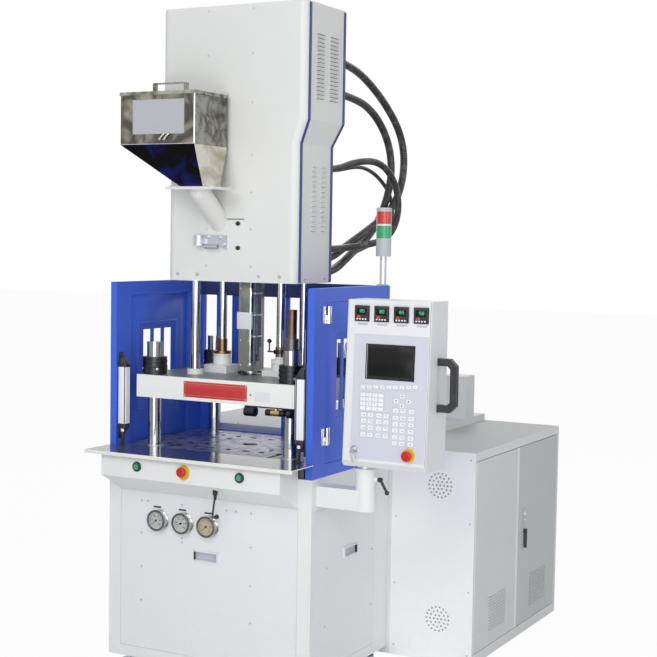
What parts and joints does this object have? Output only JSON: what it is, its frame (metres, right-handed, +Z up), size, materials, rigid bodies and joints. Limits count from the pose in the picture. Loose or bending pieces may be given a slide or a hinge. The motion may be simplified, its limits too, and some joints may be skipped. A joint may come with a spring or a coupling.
{
  "type": "vertical injection moulding machine",
  "caption": "Vertical injection moulding machine with a rising platen on tie bars, an injection tower with hopper, side guards, a swivelling control panel and a rear cabinet.",
  "frame": {"origin": "middle of the machine's footprint, on the floor", "axes": "+Z up; +X to the operator's right, the side with the control panel; the operator stands on the -Y side"},
  "size_m": [1.633, 1.913, 2.74],
  "materials": {
    "white_paint": "satin",
    "white_panel": "satin",
    "blue_paint": "satin",
    "machined_steel": "ground",
    "dark_tray": "gloss",
    "black_steel": "satin",
    "chrome": "polished",
    "bronze": "satin",
    "zinc": "satin",
    "stainless": "bright",
    "cast": "as cast",
    "cream_paint": "satin",
    "aluminium": "anodised",
    "grey_plastic": "satin",
    "black_plastic": "satin",
    "red_plastic": "gloss",
    "green_plastic": "gloss",
    "lens_plastic": "gloss",
    "hose_sleeve": "braided",
    "drive_grey": "painted"
  },
  "bodies": {
    "machine": {"base_frame": "white_paint", "front_panel": "white_panel", "side_panels": "white_panel", "levelling_feet": "zinc", "gauge_cases": "black_plastic", "button_box": "white_paint", "button_cable": "hose_sleeve", "work_tray": "dark_tray", "bolster_plate": "machined_steel", "tie_bar_bushes": "bronze", "clamp_cylinder": "cast", "guard_left": "blue_paint", "guard_right": "blue_paint", "guard_rear": "blue_paint", "light_curtains": "aluminium", "stack_pole": "zinc", "stack_lenses": "lens_plastic", "panel_arm": "white_paint", "rear_cabinet": "white_paint", "cabinet_lid": "white_panel", "switchgear": "black_plastic", "pump_motor": "drive_grey"},
    "clamp": {"moving_platen": "white_paint", "tie_bars": "chrome", "tie_bar_nuts": "black_steel", "crosshead": "machined_steel", "carriage_rods": "chrome", "rod_flanges": "white_paint", "platen_fittings": "black_plastic"},
    "carriage": {"tower_cover": "white_paint", "tower_trim": "blue_paint", "carriage_plate": "machined_steel", "barrel": "zinc", "screw_drive": "drive_grey", "barrel_shroud": "zinc", "hopper_body": "stainless", "feed_chute": "cream_paint", "chute_clamp": "zinc", "hose_upper": "hose_sleeve", "hose_middle": "hose_sleeve", "hose_lower": "hose_sleeve", "hose_branch": "hose_sleeve", "hose_fittings": "black_steel"},
    "panel": {"control_panel": "white_panel", "panel_face": "grey_plastic", "temperature_controllers": "black_plastic", "panel_handle": "black_plastic"},
    "hopper_cover": {"hopper_lid": "stainless"},
    "plasticising_screw": {"injection_screw": "chrome"},
    "panel_stop": {"panel_estop": "red_plastic"},
    "key": {"key_switch": "zinc"},
    "lever": {"clamp_lever": "black_plastic"},
    "guard_leaf_right": {"guard_door_right": "blue_paint"},
    "guard_leaf_left": {"guard_door_left": "blue_paint"},
    "cabinet_leaf_front": {"cabinet_door_front": "white_panel"},
    "cabinet_leaf_rear": {"cabinet_door_rear": "white_panel"},
    "cabinet_handle": {"door_handle": "black_plastic"},
    "start_left": {"start_button_left": "green_plastic"},
    "start_right": {"start_button_right": "green_plastic"},
    "front_stop": {"front_estop": "red_plastic"}
  },
  "joints": [
    {"name": "clamp_slide", "type": "slide", "parent": "machine", "child": "clamp", "axis": [0, 0, 1], "range_m": [0, 0.25]},
    {"name": "carriage_slide", "type": "slide", "parent": "clamp", "child": "carriage", "axis": [0, 0, 1], "range_m": [0, 0.2]},
    {"name": "screw_turn", "type": "hinge", "parent": "carriage", "child": "plasticising_screw", "pos_m": [-0.2285, -0.4575, 1.7], "axis": [0, 0, 1], "continuous": true},
    {"name": "hopper_lid_hinge", "type": "hinge", "parent": "carriage", "child": "hopper_cover", "pos_m": [-0.4155, -0.6425, 2.367], "axis": [-1, 0, 0], "range_deg": [0, 70]},
    {"name": "panel_swivel", "type": "hinge", "parent": "machine", "child": "panel", "pos_m": [0.4485, -0.7085, 0.926], "axis": [0, 0, 1], "range_deg": [-90, 30]},
    {"name": "clamp_lever_turn", "type": "hinge", "parent": "machine", "child": "lever", "pos_m": [0.5005, -0.7085, 0.884], "axis": [1, 0, 0], "range_deg": [-60, 60]},
    {"name": "panel_stop_press", "type": "slide", "parent": "panel", "child": "panel_stop", "axis": [0, 1, 0], "range_m": [0, 0.005], "stiffness_N_per_m": 3000, "springref_m": -0.002},
    {"name": "key_turn", "type": "hinge", "parent": "panel", "child": "key", "pos_m": [0.4455, -0.7885, 1.01], "axis": [0, 1, 0], "range_deg": [0, 90]},
    {"name": "start_left_press", "type": "slide", "parent": "machine", "child": "start_left", "axis": [0, 1, 0], "range_m": [0, 0.004], "stiffness_N_per_m": 1500, "springref_m": -0.002},
    {"name": "start_right_press", "type": "slide", "parent": "machine", "child": "start_right", "axis": [0, 1, 0], "range_m": [0, 0.004], "stiffness_N_per_m": 1500, "springref_m": -0.002},
    {"name": "front_stop_press", "type": "slide", "parent": "machine", "child": "front_stop", "axis": [0, 1, 0], "range_m": [0, 0.005], "stiffness_N_per_m": 3000, "springref_m": -0.002},
    {"name": "guard_leaf_right_hinge", "type": "hinge", "parent": "machine", "child": "guard_leaf_right", "pos_m": [0.2635, -0.6855, 1.236], "axis": [0, 0, 1], "range_deg": [-50, 0]},
    {"name": "guard_leaf_left_hinge", "type": "hinge", "parent": "machine", "child": "guard_leaf_left", "pos_m": [-0.7205, -0.6855, 1.236], "axis": [0, 0, 1], "range_deg": [0, 100]},
    {"name": "cabinet_leaf_front_hinge", "type": "hinge", "parent": "machine", "child": "cabinet_leaf_front", "pos_m": [0.6495, -0.0795, 0.472], "axis": [0, 0, 1], "range_deg": [-100, 0]},
    {"name": "cabinet_leaf_rear_hinge", "type": "hinge", "parent": "machine", "child": "cabinet_leaf_rear", "pos_m": [0.6495, 0.9245, 0.472], "axis": [0, 0, 1], "range_deg": [0, 100]},
    {"name": "cabinet_handle_turn", "type": "hinge", "parent": "cabinet_leaf_rear", "child": "cabinet_handle", "pos_m": [0.6535, 0.4935, 0.497], "axis": [1, 0, 0], "range_deg": [0, 90]}
  ]
}
